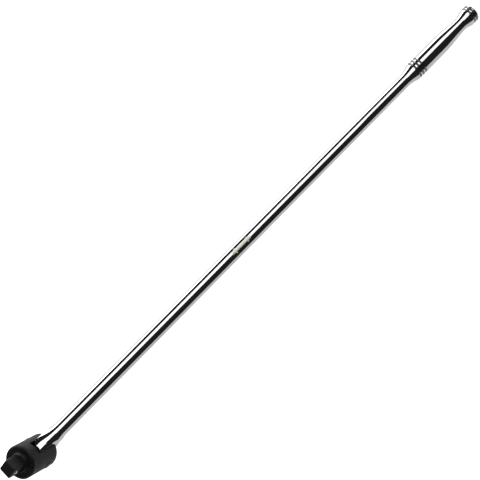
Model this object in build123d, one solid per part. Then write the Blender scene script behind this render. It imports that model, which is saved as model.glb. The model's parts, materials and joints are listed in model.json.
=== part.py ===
"""Breaker bar, 3/4-inch drive, about 38 inches long.

A chromed steel bar ends in a flat-sided tang. A black fork-shaped head with a male square
swings on a pin through the tang. The bar lies along +X with the hinge pin level along Y, and
the head is bent upwards, so the tool rests on the ends of the fork and on its end knob.

Everything is first modelled about the pin, with the pin upright: bar pieces along +X, head
pieces with the square towards -X. The head is then turned to its resting tilt, the tool is
laid over so that the head points up, and the origin goes under the middle of its bounding box.
"""
import os
from math import sqrt

from build123d import *

# ---- driving dimensions, mm ------------------------------------------------------------
# male square and its spring-loaded ball
SQUARE_SIDE = 19.05          # across flats, nominal 3/4 inch
SQUARE_LENGTH = 25.8         # shoulder to tip
SQUARE_CORNER_BEVEL = 1.6
SQUARE_TIP_BEVEL = 1.3
COLLAR_RADIUS = 14.4         # conical collar at the foot of the square
COLLAR_HEIGHT = 3.5
DETENT_BALL_RADIUS = 3.175
DETENT_BALL_PROUD = 1.3      # how far the ball stands out of the flat
DETENT_FROM_TIP = 9.0
DETENT_BORE_DEPTH = 14.0     # from the flat to the bottom of the hole
DETENT_SPRING_TURNS = 5

# swivel head
BARREL_RADIUS = 23.7
BARREL_FRONT = 38.2          # pin axis to the front shoulder
BARREL_REAR = 17.7           # pin axis to the rear of the ears
FRONT_BEVEL = 1.9
REAR_ROUND = 5.0
SLOT_FLOOR = 22.9            # pin axis to the floor of the slot
SLOT_CORNER_RADIUS = 2.0
HEAD_TILT = 61.0             # resting angle between the head and the bar, degrees

# hinge
PIN_RADIUS = 6.0
PIN_PROUD = 0.4              # each end, beyond the crown of the barrel
PIN_BEVEL = 0.8

# tang of the bar
TANG_THICKNESS = 19.1        # across the milled flats
TANG_WIDTH = 43.6            # diameter of its turned ball end
TANG_BLANK_END = 14.0        # pin axis to where the ball end starts to narrow
TANG_FLAT_END = 27.5         # pin axis to where the flats start to run out
TANG_RUNOUT_RADIUS = 28.0

# shaft and grip
SHAFT_START = 47.0
SHAFT_START_RADIUS = 10.8
SHAFT_END = 746.0
SHAFT_END_RADIUS = 10.4
GRIP_RADIUS = 14.2
GRIP_START = 763.0
GRIP_END = 821.0
GROOVE_WIDTH = 3.4           # of each turned ring groove, at the surface
GROOVE_FLOOR = 0.5
GROOVE_DEPTH = 1.1
GROOVE_PITCH = 5.6
GROOVE_COUNT = 3
FIRST_GROOVE = 2.7           # behind the start of the grip
WAIST_AT = 867.0
WAIST_RADIUS = 11.1
KNOB_RADIUS = 14.15
KNOB_START = 879.3
KNOB_ROUND_START = 889.6
KNOB_END = 895.5
KNOB_GROOVES = (883.1, 887.7)

# friction ball between the head and the tang
FRICTION_BALL_RADIUS = 3.5
FRICTION_BORE_DEPTH = 13.0   # from the slot's floor
FRICTION_SPRING_TURNS = 4

# clearances
SLOT_SIDE_GAP = 0.3          # tang to each ear
PIN_RUNNING_GAP = 0.05       # radial, tang on pin
BALL_GAP = 0.05              # ball to its hole
BALL_CONTACT_GAP = 0.02      # friction ball to the tang's rim
SPRING_SEAT_GAP = 0.05       # spring to the bore's floor and to the ball
SPRING_WIRE_RADIUS = 0.4

# ---- worked out ------------------------------------------------------------------------
SLOT_WIDTH = TANG_THICKNESS + 2 * SLOT_SIDE_GAP
SQUARE_TIP = -(BARREL_FRONT + SQUARE_LENGTH)
DETENT_X = SQUARE_TIP + DETENT_FROM_TIP
DETENT_BALL_Z = SQUARE_SIDE / 2 + DETENT_BALL_PROUD - DETENT_BALL_RADIUS
DETENT_FLOOR_Z = SQUARE_SIDE / 2 - DETENT_BORE_DEPTH
RIM_RADIUS = TANG_WIDTH / 2
FRICTION_BALL_X = -(RIM_RADIUS + BALL_CONTACT_GAP + FRICTION_BALL_RADIUS)
FRICTION_FLOOR_X = -(SLOT_FLOOR + FRICTION_BORE_DEPTH)
FAR = 60.0                   # comfortably past the head in every direction


def coil(wire_radius, outer_radius, height, turns):
    """A plain compression spring standing on the XY plane, height long overall."""
    mean_radius = outer_radius - wire_radius
    rise = height - 2 * wire_radius
    path = Helix(pitch=rise / turns, height=rise, radius=mean_radius)
    section = Plane(origin=path @ 0, z_dir=path % 0) * Circle(wire_radius)
    return Pos(0, 0, wire_radius) * sweep(section, path=path, is_frenet=True)


# ---- the bar ---------------------------------------------------------------------------
def bar_outline():
    """Half section of the turned blank, from the tang's ball end to the knob's end face."""
    tang_end = CenterArc((0, 0), RIM_RADIUS, 180, -90)
    blank = Line((0, RIM_RADIUS), (TANG_BLANK_END, RIM_RADIUS))
    neck = Spline((TANG_BLANK_END, RIM_RADIUS), (SHAFT_START, SHAFT_START_RADIUS),
                  tangents=[(1, 0), (1, 0)])
    shaft = Line((SHAFT_START, SHAFT_START_RADIUS), (SHAFT_END, SHAFT_END_RADIUS))
    flare = Spline((SHAFT_END, SHAFT_END_RADIUS), (GRIP_START, GRIP_RADIUS),
                   tangents=[(1, 0), (1, 0.3)])
    grip = Line((GRIP_START, GRIP_RADIUS), (GRIP_END, GRIP_RADIUS))
    taper = Spline((GRIP_END, GRIP_RADIUS), (WAIST_AT, WAIST_RADIUS), tangents=[(1, 0), (1, 0)])
    rise = Spline((WAIST_AT, WAIST_RADIUS), (KNOB_START, KNOB_RADIUS), tangents=[(1, 0), (1, 0.25)])
    knob = Line((KNOB_START, KNOB_RADIUS), (KNOB_ROUND_START, KNOB_RADIUS))
    crown = Spline((KNOB_ROUND_START, KNOB_RADIUS), (KNOB_END, 0), tangents=[(1, 0), (0, -1)])
    axis = Line((KNOB_END, 0), (-RIM_RADIUS, 0))
    return make_face([tang_end, blank, neck, shaft, flare, grip, taper, rise, knob, crown, axis])


def ring_groove(x, radius):
    """A turned groove around the bar with sloping walls, as the ring to cut away."""
    lip, floor, top = GROOVE_WIDTH / 2, GROOVE_FLOOR / 2, radius + GROOVE_DEPTH
    section = Polyline((x - lip, top), (x - lip, radius), (x - floor, radius - GROOVE_DEPTH),
                       (x + floor, radius - GROOVE_DEPTH), (x + lip, radius), (x + lip, top),
                       close=True)
    return revolve(make_face(section), Axis.X)


def flat_cutter():
    """What a milling cutter removes above the tang's upper flat, with its round run-out."""
    half = TANG_THICKNESS / 2
    height = 2 * TANG_RUNOUT_RADIUS
    slab = Pos((TANG_FLAT_END - FAR) / 2, 0, half + height / 2)
    slab = slab * Box(TANG_FLAT_END + FAR, 2 * FAR, height)
    wheel = Pos(TANG_FLAT_END, 0, half + TANG_RUNOUT_RADIUS) * Rot(90, 0, 0)
    wheel = wheel * Cylinder(TANG_RUNOUT_RADIUS, 2 * FAR)
    return slab + wheel


def make_bar():
    """Shaft, grip and knob turned in one piece with the tang."""
    bar = revolve(bar_outline(), Axis.X)
    cutter = flat_cutter()
    bar -= cutter
    bar -= mirror(cutter, Plane.XY)
    bar -= Cylinder(PIN_RADIUS + PIN_RUNNING_GAP, 2 * FAR)
    for i in range(GROOVE_COUNT):
        bar -= ring_groove(GRIP_START + FIRST_GROOVE + i * GROOVE_PITCH, GRIP_RADIUS)
    for x in KNOB_GROOVES:
        bar -= ring_groove(x, KNOB_RADIUS)
    return bar


# ---- the head --------------------------------------------------------------------------
def barrel_outline():
    """Half section of the barrel and the collar, before the slot is cut."""
    front = -BARREL_FRONT
    collar_top = SQUARE_SIDE / sqrt(2) - SQUARE_CORNER_BEVEL / sqrt(2)
    points = [
        (front - COLLAR_HEIGHT, 0),
        (front - COLLAR_HEIGHT, collar_top),
        (front, COLLAR_RADIUS),
        (front, BARREL_RADIUS - FRONT_BEVEL),
        (front + FRONT_BEVEL, BARREL_RADIUS),
        (BARREL_REAR - REAR_ROUND, BARREL_RADIUS),
    ]
    rear = CenterArc((BARREL_REAR - REAR_ROUND, BARREL_RADIUS - REAR_ROUND), REAR_ROUND, 90, -90)
    back = Polyline([(BARREL_REAR, BARREL_RADIUS - REAR_ROUND), (BARREL_REAR, 0), points[0]])
    return make_face([Polyline(points), rear, back])


def make_square():
    """The male square, with bevelled long edges and tip."""
    length = SQUARE_LENGTH + COLLAR_HEIGHT
    square = Pos(SQUARE_TIP + length / 2, 0, 0) * Box(length, SQUARE_SIDE, SQUARE_SIDE)
    square = chamfer(square.edges().filter_by(Axis.X), SQUARE_CORNER_BEVEL)
    return chamfer(square.faces().sort_by(Axis.X)[0].edges(), SQUARE_TIP_BEVEL)


def detent_hole():
    """Blind hole for the detent ball and spring, narrowed to a lip that keeps the ball in."""
    seat_radius = DETENT_BALL_RADIUS + BALL_GAP
    height = DETENT_BALL_Z - DETENT_FLOOR_Z
    well = Pos(DETENT_X, 0, DETENT_FLOOR_Z + height / 2) * Cylinder(seat_radius, height)
    seat = Pos(DETENT_X, 0, DETENT_BALL_Z) * Sphere(seat_radius)
    return well + seat


def make_head():
    """Fork, barrel and male square in one forging."""
    head = revolve(barrel_outline(), Axis.X) + make_square()
    slot_length = SLOT_FLOOR + FAR
    slot = Pos(-SLOT_FLOOR + slot_length / 2, 0, 0) * Box(slot_length, 2 * FAR, SLOT_WIDTH)
    floor_edges = slot.edges().filter_by(Axis.Y).group_by(Axis.X)[0]
    head -= fillet(floor_edges, SLOT_CORNER_RADIUS)
    head -= Cylinder(PIN_RADIUS, 2 * FAR)
    head -= detent_hole()
    bore = Pos(FRICTION_FLOOR_X + FRICTION_BORE_DEPTH / 2, 0, 0) * Rot(0, 90, 0)
    head -= bore * Cylinder(FRICTION_BALL_RADIUS + BALL_GAP, FRICTION_BORE_DEPTH)
    return head


def make_pin():
    """Hinge pin, pressed in the ears and running in the tang."""
    pin = Cylinder(PIN_RADIUS, 2 * (BARREL_RADIUS + PIN_PROUD))
    return chamfer(pin.edges().filter_by(GeomType.CIRCLE), PIN_BEVEL)


def spring_behind(ball_radius, room, turns):
    """The spring that fills the bore from its floor, room below the ball's centre, to the ball.

    It stands on the XY plane, and its last turn bears on the round back of the ball.
    """
    outer = ball_radius - 2 * BALL_GAP
    mean = outer - SPRING_WIRE_RADIUS
    reach = sqrt((ball_radius + SPRING_WIRE_RADIUS + SPRING_SEAT_GAP) ** 2 - mean ** 2)
    height = room - SPRING_SEAT_GAP - reach + SPRING_WIRE_RADIUS
    return Pos(0, 0, SPRING_SEAT_GAP) * coil(SPRING_WIRE_RADIUS, outer, height, turns)


def make_detent_spring():
    room = DETENT_BALL_Z - DETENT_FLOOR_Z
    spring = spring_behind(DETENT_BALL_RADIUS, room, DETENT_SPRING_TURNS)
    return Pos(DETENT_X, 0, DETENT_FLOOR_Z) * spring


def make_friction_spring():
    room = FRICTION_BALL_X - FRICTION_FLOOR_X
    spring = spring_behind(FRICTION_BALL_RADIUS, room, FRICTION_SPRING_TURNS)
    return Pos(FRICTION_FLOOR_X, 0, 0) * Rot(0, 90, 0) * spring


# ---- assembly --------------------------------------------------------------------------
LAID_OVER = Rot(90, 0, 0)
HEAD_TURN = Rot(0, 0, -HEAD_TILT)
tool = {
    "bar": make_bar(),
    "swivel_head": HEAD_TURN * make_head(),
    "hinge_pin": make_pin(),
    "detent_ball": HEAD_TURN * Pos(DETENT_X, 0, DETENT_BALL_Z) * Sphere(DETENT_BALL_RADIUS),
    "detent_spring": HEAD_TURN * make_detent_spring(),
    "friction_ball": HEAD_TURN * Pos(FRICTION_BALL_X, 0, 0) * Sphere(FRICTION_BALL_RADIUS),
    "friction_spring": HEAD_TURN * make_friction_spring(),
}
tool = {name: LAID_OVER * solid for name, solid in tool.items()}

bar_box = tool["bar"].bounding_box()
head_box = tool["swivel_head"].bounding_box()
middle = round((head_box.min.X + bar_box.max.X) / 2, 1)
lowest = round(head_box.min.Z, 2)
print("pin axis at", (-middle, 0, -lowest))

os.makedirs("parts", exist_ok=True)
for name, solid in tool.items():
    placed = Pos(-middle, 0, -lowest) * solid
    placed.label = name
    export_step(placed, f"parts/{name}.step")
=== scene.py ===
"""Looks for the breaker bar: chromed bar, black phosphated head, on a plain pale floor.

The frame has X along the bar toward the grip, Z up, and the hinge pin along Y.
"""
import bisect
import json
import math

import bmesh
import bpy
from mathutils import Matrix, Vector


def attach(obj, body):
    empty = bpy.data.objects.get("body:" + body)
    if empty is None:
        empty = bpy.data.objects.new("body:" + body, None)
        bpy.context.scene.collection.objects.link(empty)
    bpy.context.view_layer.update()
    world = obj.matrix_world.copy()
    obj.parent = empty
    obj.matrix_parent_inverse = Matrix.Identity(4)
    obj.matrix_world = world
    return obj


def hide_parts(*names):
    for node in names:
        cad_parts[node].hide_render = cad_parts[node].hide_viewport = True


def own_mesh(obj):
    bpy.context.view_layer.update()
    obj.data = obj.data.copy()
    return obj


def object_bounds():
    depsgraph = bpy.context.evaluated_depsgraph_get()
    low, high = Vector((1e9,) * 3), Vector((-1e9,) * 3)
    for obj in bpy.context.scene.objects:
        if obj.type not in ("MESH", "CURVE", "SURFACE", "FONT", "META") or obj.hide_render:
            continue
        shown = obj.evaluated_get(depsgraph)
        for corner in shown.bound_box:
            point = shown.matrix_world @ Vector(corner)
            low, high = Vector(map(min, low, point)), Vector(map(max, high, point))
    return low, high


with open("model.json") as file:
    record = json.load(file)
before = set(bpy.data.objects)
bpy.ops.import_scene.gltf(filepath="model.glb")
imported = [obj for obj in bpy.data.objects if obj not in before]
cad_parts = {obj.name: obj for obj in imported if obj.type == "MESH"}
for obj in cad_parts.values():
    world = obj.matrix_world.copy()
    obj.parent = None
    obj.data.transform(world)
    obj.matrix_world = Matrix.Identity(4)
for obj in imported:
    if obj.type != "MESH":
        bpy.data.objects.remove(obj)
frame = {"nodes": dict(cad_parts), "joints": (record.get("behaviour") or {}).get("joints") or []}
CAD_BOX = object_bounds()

NODES = frame["nodes"]
JOINTS = {j["name"]: j for j in frame["joints"]}
PIN = Vector(JOINTS["head_tilt"]["pos_m"])
MM = 0.001


# ---- camera ----------------------------------------------------------------------------
CAMERA_FROM_PIN = Vector((0.2602, -0.3020, 1.3109))
CAMERA_FORWARD = Vector((0.1094, 0.2283, -0.9674))
CAMERA_UP = Vector((0.7068, 0.6664, 0.2372))
CAMERA_LENS_MM = 71.25
SENSOR_MM = 36.0


def make_camera():
    """Looks down on the tool from the -Y side, over the hinge."""
    data = bpy.data.cameras.new("camera")
    data.sensor_width = SENSOR_MM
    data.lens = CAMERA_LENS_MM
    data.clip_start = 0.05
    data.clip_end = 60.0
    camera = bpy.data.objects.new("camera", data)
    back = -CAMERA_FORWARD.normalized()
    right = CAMERA_UP.cross(back).normalized()
    up = back.cross(right)
    camera.matrix_world = Matrix((
        (right.x, up.x, back.x, 0),
        (right.y, up.y, back.y, 0),
        (right.z, up.z, back.z, 0),
        (0, 0, 0, 1),
    ))
    camera.location = PIN + CAMERA_FROM_PIN
    bpy.context.scene.collection.objects.link(camera)
    bpy.context.scene.camera = camera


# ---- node helpers ----------------------------------------------------------------------
class Tree:
    """Short names for building a shader tree."""

    def __init__(self, tree):
        self.tree = tree
        tree.nodes.clear()

    def add(self, kind, inputs=None, **settings):
        node = self.tree.nodes.new(kind)
        for key, value in settings.items():
            setattr(node, key, value)
        for key, value in (inputs or {}).items():
            self.set(node.inputs[key], value)
        return node

    def set(self, socket, value):
        if isinstance(value, bpy.types.NodeSocket):
            self.tree.links.new(value, socket)
        else:
            socket.default_value = value

    def math(self, operation, *values, clamp=False):
        node = self.add("ShaderNodeMath", operation=operation, use_clamp=clamp)
        for i, value in enumerate(values):
            self.set(node.inputs[i], value)
        return node.outputs[0]

    def vmath(self, operation, *values, out="Vector"):
        node = self.add("ShaderNodeVectorMath", operation=operation)
        for i, value in enumerate(values):
            self.set(node.inputs[i], value)
        return node.outputs[out]

    def noise(self, vector, scale, detail=3.0, roughness=0.5, distortion=0.0):
        node = self.add("ShaderNodeTexNoise", {
            "Vector": vector, "Scale": scale, "Detail": detail,
            "Roughness": roughness, "Distortion": distortion,
        })
        return node.outputs["Fac"]

    def fit(self, value, low, high, to_low, to_high, smooth=False):
        node = self.add("ShaderNodeMapRange", {
            "Value": value, "From Min": low, "From Max": high,
            "To Min": to_low, "To Max": to_high,
        }, clamp=True, interpolation_type="SMOOTHSTEP" if smooth else "LINEAR")
        return node.outputs["Result"]

    def mix(self, factor, a, b):
        node = self.add("ShaderNodeMix", data_type="RGBA")
        self.set(node.inputs["Factor"], factor)
        self.set(node.inputs[6], a)
        self.set(node.inputs[7], b)
        return node.outputs[2]

    def bump(self, height, distance, strength=1.0, normal=None):
        inputs = {"Height": height, "Distance": distance, "Strength": strength}
        if normal is not None:
            inputs["Normal"] = normal
        return self.add("ShaderNodeBump", inputs).outputs["Normal"]


def new_material(name):
    material = bpy.data.materials.new(name)
    material.use_nodes = True
    return material, Tree(material.node_tree)


def edge_mask(t, radius):
    """(how close a point is to an edge, the normal rounded over that edge)"""
    bevel = t.add("ShaderNodeBevel", {"Radius": radius}, samples=6).outputs["Normal"]
    true_normal = t.add("ShaderNodeNewGeometry").outputs["Normal"]
    facing = t.vmath("DOT_PRODUCT", bevel, true_normal, out="Value")
    return t.fit(facing, 0.995, 0.86, 0.0, 1.0), bevel


def rgb(r, g=None, b=None):
    g = r if g is None else g
    b = r if b is None else b
    return (r, g, b, 1.0)


# ---- materials -------------------------------------------------------------------------
MARK_AT = 0.4033               # metres from the pin to the middle of the etched mark
MARK_FACES = math.radians(8.0)  # its middle, from straight up toward -Y
MARK_LENGTH, MARK_HEIGHT, TICK_HEIGHT = 0.0355, 0.0050, 0.0084
TICKS_AT, TICK_WIDTH = 0.0115, 0.0024
HATCH_PITCH = 0.0013
EDGE_SOFTNESS = 0.00012        # metres over which a painted edge fades


def within(t, value, half, soft=EDGE_SOFTNESS):
    """1 where value is between -half and half, 0 outside."""
    return t.fit(t.math("ABSOLUTE", value), half - soft, half + soft, 1.0, 0.0)


def etched_mark(t, where):
    """Where a plain hatched band with two taller ticks is etched in the shaft."""
    parts = t.add("ShaderNodeSeparateXYZ", {"Vector": where})
    x = t.math("SUBTRACT", parts.outputs["X"], PIN.x + MARK_AT)
    up = t.math("SUBTRACT", parts.outputs["Z"], PIN.z)
    toward = t.math("MULTIPLY", parts.outputs["Y"], -1.0)
    turn = t.math("SUBTRACT", t.math("ARCTAN2", toward, up), MARK_FACES)
    round_it = t.math("MULTIPLY", turn, SHAFT[0][1] * MM)
    band = t.math("MULTIPLY", within(t, x, MARK_LENGTH / 2),
                  within(t, round_it, MARK_HEIGHT / 2))
    slant = t.math("PINGPONG", t.math("ADD", x, round_it), HATCH_PITCH / 2)
    hatch = t.fit(slant, HATCH_PITCH * 0.08, HATCH_PITCH * 0.14, 0.0, 1.0)
    spacing = t.math("SUBTRACT", t.math("ABSOLUTE", x), TICKS_AT)
    ticks = t.math("MULTIPLY", within(t, spacing, TICK_WIDTH / 2),
                   within(t, round_it, TICK_HEIGHT / 2))
    return t.math("MAXIMUM", t.math("MULTIPLY", band, hatch), ticks)


def groove_shade_mask(t, where):
    """1 inside the turned ring grooves, where painted shade darkens the plating."""
    x = t.add("ShaderNodeSeparateXYZ", {"Vector": where}).outputs["X"]
    total = None
    for at in GRIP_GROOVES + KNOB_GROOVES:
        offset = t.math("SUBTRACT", x, PIN.x + at * MM)
        ring = within(t, offset, GROOVE_WIDTH / 2 * MM)
        total = ring if total is None else t.math("MAXIMUM", total, ring)
    return total


PLATE_DARK, PLATE_LIGHT = rgb(0.60, 0.60, 0.605), rgb(0.66, 0.66, 0.66)
# colour of the painted shade in the ring grooves
GROOVE_SHADE = rgb(0.035)
ETCHED = rgb(1.0, 0.93, 0.77)
WORN_STEEL = rgb(0.22, 0.215, 0.21)


def chrome():
    """Polished plate with a faint haze, painted shade in the ring grooves and the dull etched mark.
    """
    material, t = new_material("chrome_plate")
    where = t.add("ShaderNodeTexCoord").outputs["Object"]
    mark = etched_mark(t, where)
    stretched = t.vmath("MULTIPLY", where, (9.0, 1.0, 1.0))
    polish = t.noise(stretched, 260.0, 4.0, 0.6)
    haze = t.noise(where, 22.0, 3.0, 0.55)
    smudge = t.noise(where, 7.0, 2.0, 0.5, 0.6)
    rough = t.math("ADD", t.fit(haze, 0.35, 0.75, 0.03, 0.06),
                   t.fit(smudge, 0.55, 0.8, 0.0, 0.03))
    colour = t.mix(t.fit(haze, 0.3, 0.8, 0.0, 1.0), PLATE_DARK, PLATE_LIGHT)
    # painted shade: the ring grooves are darkened in colour and made rougher, standing in for the
    # dark they show
    groove_shade = t.math("MULTIPLY", groove_shade_mask(t, where), t.fit(polish, 0.25, 0.6, 0.6, 0.8))
    colour = t.mix(groove_shade, colour, GROOVE_SHADE)
    rough = t.math("ADD", rough, t.math("MULTIPLY", groove_shade, 0.35))
    colour = t.mix(mark, colour, ETCHED)
    rough = t.math("ADD", rough, t.math("MULTIPLY", mark, 0.30))
    metal = t.math("SUBTRACT", 1.0, t.math("MULTIPLY", mark, 0.85))
    depth = t.math("SUBTRACT", t.math("MULTIPLY", polish, 0.04), mark)
    normal = t.bump(depth, 0.00003, 0.5)
    shader = t.add("ShaderNodeBsdfPrincipled", {
        "Base Color": colour, "Metallic": metal, "Roughness": rough, "Normal": normal,
    })
    output = t.add("ShaderNodeOutputMaterial")
    t.set(output.inputs["Surface"], shader.outputs[0])
    return material


def phosphate(name, tone, rough_low, rough_high, worn):
    """Black phosphated steel: fine grain, uneven sheen, edges rubbed back to grey."""
    material, t = new_material(name)
    where = t.add("ShaderNodeTexCoord").outputs["Object"]
    edge, rounded = edge_mask(t, 0.0007)
    grain = t.noise(where, 1500.0, 3.0, 0.6)
    cloud = t.noise(where, 90.0, 4.0, 0.6)
    wear = t.math("MULTIPLY", edge, t.fit(cloud, 0.42, 0.62, 0.0, 1.0))
    base = t.mix(cloud, rgb(tone * 0.75), rgb(tone * 1.3))
    colour = t.mix(t.math("MULTIPLY", wear, worn), base, WORN_STEEL)
    rough = t.fit(cloud, 0.3, 0.7, rough_low, rough_high)
    rough = t.math("ADD", rough, t.fit(grain, 0.3, 0.7, -0.03, 0.03))
    height = t.math("ADD", t.math("MULTIPLY", cloud, 2.0), grain)
    normal = t.bump(height, 0.00002, 0.5, rounded)
    shader = t.add("ShaderNodeBsdfPrincipled", {
        "Base Color": colour, "Metallic": 0.0, "Roughness": rough, "Normal": normal,
        "Specular IOR Level": 0.28,
    })
    output = t.add("ShaderNodeOutputMaterial")
    t.set(output.inputs["Surface"], shader.outputs[0])
    return material


def bare_steel(name, tone, rough_low, rough_high):
    """Ground or drawn bright steel, slightly uneven in tone and sheen."""
    material, t = new_material(name)
    where = t.add("ShaderNodeTexCoord").outputs["Object"]
    cloud = t.noise(where, 400.0, 3.0, 0.55)
    fine = t.noise(where, 3000.0, 2.0, 0.5)
    colour = t.mix(cloud, rgb(tone * 0.9), rgb(tone * 1.08))
    rough = t.fit(cloud, 0.3, 0.7, rough_low, rough_high)
    normal = t.bump(fine, 0.000003, 0.5)
    shader = t.add("ShaderNodeBsdfPrincipled", {
        "Base Color": colour, "Metallic": 1.0, "Roughness": rough, "Normal": normal,
    })
    output = t.add("ShaderNodeOutputMaterial")
    t.set(output.inputs["Surface"], shader.outputs[0])
    return material


def paint_nodes():
    black = phosphate("black_phosphate", 0.007, 0.44, 0.56, 0.12)
    finish = {
        "swivel_head": black,
        "hinge_pin": phosphate("black_pin", 0.008, 0.34, 0.46, 0.3),
        "detent_ball": bare_steel("ball_steel", 0.62, 0.10, 0.20),
        "friction_ball": bare_steel("ball_steel_inner", 0.60, 0.12, 0.22),
        "detent_spring": bare_steel("spring_steel", 0.42, 0.25, 0.38),
        "friction_spring": bare_steel("spring_steel_inner", 0.42, 0.25, 0.38),
    }
    for name, material in finish.items():
        for slot in NODES[name].material_slots:
            slot.material = material


# ---- the bar's own mesh ------------------------------------------------------------------
# millimetres from the hinge pin, as in the CAD part
BALL_END, BLANK_END = 21.8, 14.0
FLAT_HALF, FLAT_TO, RUNOUT_RADIUS = 9.55, 27.5, 28.0
PIN_BORE = 6.05
SHAFT = ((47.0, 10.8), (746.0, 10.4))
GRIP = ((763.0, 14.2), (821.0, 14.2))
WAIST = (867.0, 11.1)
KNOB = ((879.3, 14.15), (889.6, 14.15))
KNOB_END = 895.5
GROOVE_WIDTH, GROOVE_FLOOR, GROOVE_DEPTH = 3.4, 0.5, 1.1
GRIP_GROOVES = (765.7, 771.3, 776.9)
KNOB_GROOVES = (883.1, 887.7)
SIDES = 128
BORE_SIDES = 96
FAR = 40.0                                # past the bar's surface in every direction
RUNOUT_SWEEP = math.radians(44)           # how far round the cutter's wheel leaves the bar
RUNOUT_STEPS = 32
ON_AXIS = 1e-4
TOOLS = LATHE, FLAT, RUNOUT, BORE = range(4)      # which tool left a face


def curve(a, b, slope_a, slope_b, count):
    """A smooth (Hermite) run from a to b as points and their tangents."""
    a, b = Vector(a), Vector(b)
    reach = (b - a).length
    ta, tb = Vector(slope_a).normalized() * reach, Vector(slope_b).normalized() * reach
    points, tangents = [], []
    for i in range(count + 1):
        u = i / count
        points.append(a * (2 * u**3 - 3 * u**2 + 1) + ta * (u**3 - 2 * u**2 + u)
                      + b * (3 * u**2 - 2 * u**3) + tb * (u**3 - u**2))
        tangents.append(a * (6 * u**2 - 6 * u) + ta * (3 * u**2 - 4 * u + 1)
                        + b * (6 * u - 6 * u**2) + tb * (3 * u**2 - 2 * u))
    return points, tangents


def arc(centre, radius, start, end, count):
    """A run along a circle from one angle to another."""
    points, tangents = [], []
    for i in range(count + 1):
        turn = start + (end - start) * i / count
        points.append(Vector(centre) + radius * Vector((math.cos(turn), math.sin(turn))))
        tangent = Vector((-math.sin(turn), math.cos(turn)))
        tangents.append(tangent if end > start else -tangent)
    return points, tangents


def line(a, b):
    """A straight run from a to b."""
    a, b = Vector(a), Vector(b)
    return [a, b], [b - a, b - a]


def grooved(a, b, grooves):
    """A level run from a to b with a sloping-walled groove turned in at each given place."""
    runs = []
    at = Vector(a)
    for x in grooves:
        level, bottom = at.y, at.y - GROOVE_DEPTH
        lip_a = Vector((x - GROOVE_WIDTH / 2, level))
        lip_b = Vector((x + GROOVE_WIDTH / 2, level))
        floor_a = Vector((x - GROOVE_FLOOR / 2, bottom))
        floor_b = Vector((x + GROOVE_FLOOR / 2, bottom))
        runs += [line(at, lip_a), line(lip_a, floor_a), line(floor_a, floor_b),
                 line(floor_b, lip_b)]
        at = lip_b
    runs.append(line(at, b))
    return runs


def bar_profile():
    """The turned outline as runs of (points, tangents), from the ball end to the knob."""
    ball = arc((0, 0), BALL_END, math.pi, math.pi / 2, 28)
    blank_end = (BLANK_END, BALL_END)
    return [
        ball,
        line((0.0, BALL_END), blank_end),
        curve(blank_end, SHAFT[0], (1, 0), (1, 0), 28),
        line(*SHAFT),
        curve(SHAFT[1], GRIP[0], (1, 0), (1, 0.3), 20),
        *grooved(*GRIP, GRIP_GROOVES),
        curve(GRIP[1], WAIST, (1, 0), (1, 0), 24),
        curve(WAIST, KNOB[0], (1, 0), (1, 0.25), 16),
        *grooved(*KNOB, KNOB_GROOVES),
        curve(KNOB[1], (KNOB_END, 0), (1, 0), (0, -1), 20),
    ]


def profile_segments(runs):
    """Short straight pieces (x0, r0, normal0, x1, r1, normal1) that keep each run's shading."""
    pieces = []
    for points, tangents in runs:
        normals = [Vector((-t.y, t.x)).normalized() for t in tangents]
        for i in range(len(points) - 1):
            pieces.append((*points[i], normals[i], *points[i + 1], normals[i + 1]))
    return pieces


def lathe(pieces):
    """The solid turned from the pieces about the bar's axis, in millimetres from the pin."""
    rings = [(pieces[0][0], pieces[0][1])] + [(p[3], p[4]) for p in pieces]
    verts = [(rings[0][0], 0, 0)]
    for x, r in rings[1:-1]:
        for k in range(SIDES):
            turn = 2 * math.pi * k / SIDES
            verts.append((x, r * math.cos(turn), r * math.sin(turn)))
    verts.append((rings[-1][0], 0, 0))
    last = len(verts) - 1
    faces = []
    for k in range(SIDES):
        n = (k + 1) % SIDES
        faces.append((0, 1 + k, 1 + n))
        base = last - SIDES
        faces.append((last, base + n, base + k))
    for i in range(len(rings) - 3):
        for k in range(SIDES):
            n = (k + 1) % SIDES
            a, b = 1 + i * SIDES, 1 + (i + 1) * SIDES
            faces.append((a + k, b + k, b + n, a + n))
    return make_solid("bar_blank", verts, faces, [LATHE] * len(faces))


def make_solid(name, verts, faces, tools):
    """A closed mesh object whose material index tells which tool left each face."""
    mesh = bpy.data.meshes.new(name)
    mesh.from_pydata(verts, [], faces)
    for _ in TOOLS:
        mesh.materials.append(None)
    for face, tool in zip(mesh.polygons, tools):
        face.material_index = tool
    work = bmesh.new()
    work.from_mesh(mesh)
    bmesh.ops.recalc_face_normals(work, faces=work.faces)
    work.to_mesh(mesh)
    work.free()
    solid = bpy.data.objects.new(name, mesh)
    bpy.context.scene.collection.objects.link(solid)
    return solid


def prism(name, outline, axis, side_tools):
    """Extrudes an XY or XZ outline along the other axis, past the bar on both sides."""
    def place(p, h):
        return (p[0], p[1], h) if axis == "Z" else (p[0], h, p[1])
    count = len(outline)
    verts = [place(p, -FAR) for p in outline] + [place(p, FAR) for p in outline]
    faces = [tuple(range(count)), tuple(range(count, 2 * count))]
    tools = [LATHE, LATHE]
    for i in range(count):
        j = (i + 1) % count
        faces.append((i, j, count + j, count + i))
        tools.append(side_tools[i])
    return make_solid(name, verts, faces, tools)


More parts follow.
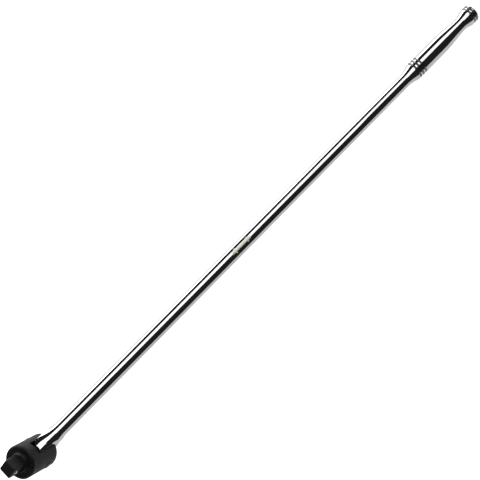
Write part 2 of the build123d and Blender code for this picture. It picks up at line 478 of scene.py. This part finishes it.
def flat_cutter(side):
    """The milled flat and the round run-out that the cutter leaves, on the +Y or -Y side."""
    centre = Vector((FLAT_TO, FLAT_HALF + RUNOUT_RADIUS))
    outline = [Vector((-FAR, FLAT_HALF)), Vector((FLAT_TO, FLAT_HALF))]
    for i in range(1, RUNOUT_STEPS + 1):
        turn = RUNOUT_SWEEP * i / RUNOUT_STEPS
        outline.append(centre + RUNOUT_RADIUS * Vector((math.sin(turn), -math.cos(turn))))
    outline += [Vector((outline[-1].x, FAR)), Vector((-FAR, FAR))]
    outline = [(p.x, p.y * side) for p in outline]
    tools = [FLAT] + [RUNOUT] * RUNOUT_STEPS + [LATHE] * 3
    return prism("flat_cutter", outline, "Z", tools)


def bore_cutter():
    """The round hole for the hinge pin."""
    turns = [2 * math.pi * i / BORE_SIDES for i in range(BORE_SIDES)]
    outline = [(PIN_BORE * math.cos(turn), PIN_BORE * math.sin(turn)) for turn in turns]
    return prism("bore_cutter", outline, "Y", [BORE] * BORE_SIDES)


def surface_normal(tool, centre, at, pieces, starts):
    """The true outward normal of the bar at a point on the face that a tool left."""
    side = 1.0 if centre.y > 0 else -1.0
    if tool == FLAT:
        return Vector((0, side, 0))
    if tool == RUNOUT:
        wheel_y = side * (FLAT_HALF + RUNOUT_RADIUS)
        return Vector((FLAT_TO - at.x, wheel_y - at.y, 0)).normalized()
    if tool == BORE:
        return Vector((-at.x, 0, -at.z)).normalized()
    piece = pieces[max(0, bisect.bisect_right(starts, centre.x) - 1)]
    x0, _, n0, x1, _, n1 = piece
    u = min(1.0, max(0.0, (at.x - x0) / (x1 - x0))) if x1 > x0 else 0.0
    n = (n0 * (1 - u) + n1 * u).normalized()
    reach = math.hypot(at.y, at.z)
    if reach < ON_AXIS:
        return Vector((1.0 if n.x > 0 else -1.0, 0, 0))
    return Vector((n.x, n.y * at.y / reach, n.y * at.z / reach)).normalized()


def make_bar():
    """The bar as turned and milled, with exact shading, in place of the coarser CAD mesh."""
    pieces = profile_segments(bar_profile())
    starts = [p[0] for p in pieces]
    blank = lathe(pieces)
    cutters = [flat_cutter(1), flat_cutter(-1), bore_cutter()]
    for cutter in cutters:
        cut = blank.modifiers.new("cut", "BOOLEAN")
        cut.operation = "DIFFERENCE"
        cut.solver = "EXACT"
        cut.material_mode = "INDEX"
        cut.object = cutter
    bpy.context.view_layer.update()
    mesh = bpy.data.meshes.new_from_object(
        blank.evaluated_get(bpy.context.evaluated_depsgraph_get()))
    for used in [blank, *cutters]:
        bpy.data.objects.remove(used)
    normals = []
    for face in mesh.polygons:
        face.use_smooth = True
        tool = face.material_index
        for vertex in face.vertices:
            at = mesh.vertices[vertex].co
            normals.append(surface_normal(tool, face.center, at, pieces, starts))
    mesh.materials.clear()
    for face in mesh.polygons:
        face.material_index = 0
    mesh.transform(Matrix.Translation(PIN) @ Matrix.Scale(MM, 4))
    mesh.normals_split_custom_set(normals)
    mesh.name = "bar_turned"
    bar = bpy.data.objects.new("bar_turned", mesh)
    bpy.context.scene.collection.objects.link(bar)
    mesh.materials.append(chrome())
    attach(bar, "bar")
    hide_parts("bar")
    return bar


# ---- studio ----------------------------------------------------------------------------
def softbox(name, zenith_deg, distance, width, start, end, radiance):
    """A long light parallel to the bar, from x = start to end, leant toward -Y by the angle."""
    length = end - start
    data = bpy.data.lights.new(name, "AREA")
    data.shape = "RECTANGLE"
    data.size = length
    data.size_y = width
    # a one-sided area light of power P and area A gives a radiance of P / (pi * A)
    data.energy = radiance * math.pi * width * length
    light = bpy.data.objects.new(name, data)
    a = math.radians(zenith_deg)
    direction = Vector((0.0, -math.sin(a), math.cos(a)))
    light.location = Vector(((start + end) / 2, 0.0, PIN.z)) + direction * distance
    along = Vector((1.0, 0.0, 0.0))
    across = direction.cross(along)
    light.rotation_mode = "QUATERNION"
    light.rotation_quaternion = Matrix((
        (along.x, across.x, direction.x),
        (along.y, across.y, direction.y),
        (along.z, across.z, direction.z),
    )).to_quaternion()
    light.visible_camera = False
    bpy.context.scene.collection.objects.link(light)


ROOM_GREY = 0.018             # what the tool sees of the room around the lights


def make_world():
    """White where the camera sees past the floor, and a dark room for everything else."""
    world = bpy.data.worlds.new("studio")
    world.use_nodes = True
    t = Tree(world.node_tree)
    path = t.add("ShaderNodeLightPath")
    dim = t.add("ShaderNodeBackground", {"Color": rgb(ROOM_GREY), "Strength": 1.0})
    white = t.add("ShaderNodeBackground", {"Color": rgb(1.0), "Strength": 1.0})
    both = t.add("ShaderNodeMixShader", {
        "Fac": path.outputs["Is Camera Ray"], 1: dim.outputs[0], 2: white.outputs[0],
    })
    output = t.add("ShaderNodeOutputWorld")
    t.set(output.inputs["Surface"], both.outputs[0])
    bpy.context.scene.world = world


def make_detent_coil():
    """The detent ball's spring as a copy of its own, hung on the head in place of the CAD spring.
    """
    mesh = NODES["detent_spring"].data.copy()
    mesh.name = "detent_coil"
    coil = bpy.data.objects.new("detent_coil", mesh)
    bpy.context.scene.collection.objects.link(coil)
    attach(coil, "head")
    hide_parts("detent_spring")
    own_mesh(coil)


# the floor behind the bar shines brighter onto it than the floor in front
NEAR_SIDE_ENDS, FAR_SIDE_STARTS = 0.0, 0.04     # metres across the floor
NEAR_GLOW, FAR_GLOW = 0.36, 0.62
FLOOR_HALF = 3.0


def make_floor():
    """A pale matt floor under the tool, which the camera sees lifted to white."""
    half = FLOOR_HALF
    mesh = bpy.data.meshes.new("floor")
    mesh.from_pydata([(-half, -half, 0), (half, -half, 0), (half, half, 0), (-half, half, 0)],
                     [], [(0, 1, 2, 3)])
    floor = bpy.data.objects.new("floor", mesh)
    floor.location.z = CAD_BOX[0].z
    bpy.context.scene.collection.objects.link(floor)
    material, t = new_material("pale_floor")
    path = t.add("ShaderNodeLightPath")
    diffuse = t.add("ShaderNodeBsdfDiffuse", {"Color": rgb(0.8)})
    where = t.add("ShaderNodeTexCoord").outputs["Object"]
    across = t.add("ShaderNodeSeparateXYZ", {"Vector": where}).outputs["Y"]
    far_side = t.fit(across, NEAR_SIDE_ENDS, FAR_SIDE_STARTS, NEAR_GLOW, FAR_GLOW)
    glow = t.math("ADD", far_side, path.outputs["Is Camera Ray"])
    lift = t.add("ShaderNodeEmission", {"Color": rgb(1.0), "Strength": glow})
    both = t.add("ShaderNodeAddShader")
    t.set(both.inputs[0], diffuse.outputs[0])
    t.set(both.inputs[1], lift.outputs[0])
    output = t.add("ShaderNodeOutputMaterial")
    t.set(output.inputs["Surface"], both.outputs[0])
    mesh.materials.append(material)


# name, degrees from overhead, distance and width, start and end along X, radiance
LIGHTS = (
    ("overhead_box", -7.0, 1.9, 1.28, -0.95, 0.8, 1.9),
    ("overhead_box_grip", -10.0, 1.9, 1.09, 0.8, 2.3, 1.9),
    ("far_side_box", -77.5, 1.9, 0.84, -1.3, 2.3, 3.4),
)


def make_studio():
    for light in LIGHTS:
        softbox(*light)
    make_world()
    make_floor()
    bpy.context.scene.view_settings.view_transform = "Standard"


make_camera()
make_bar()
paint_nodes()
make_detent_coil()
make_studio()
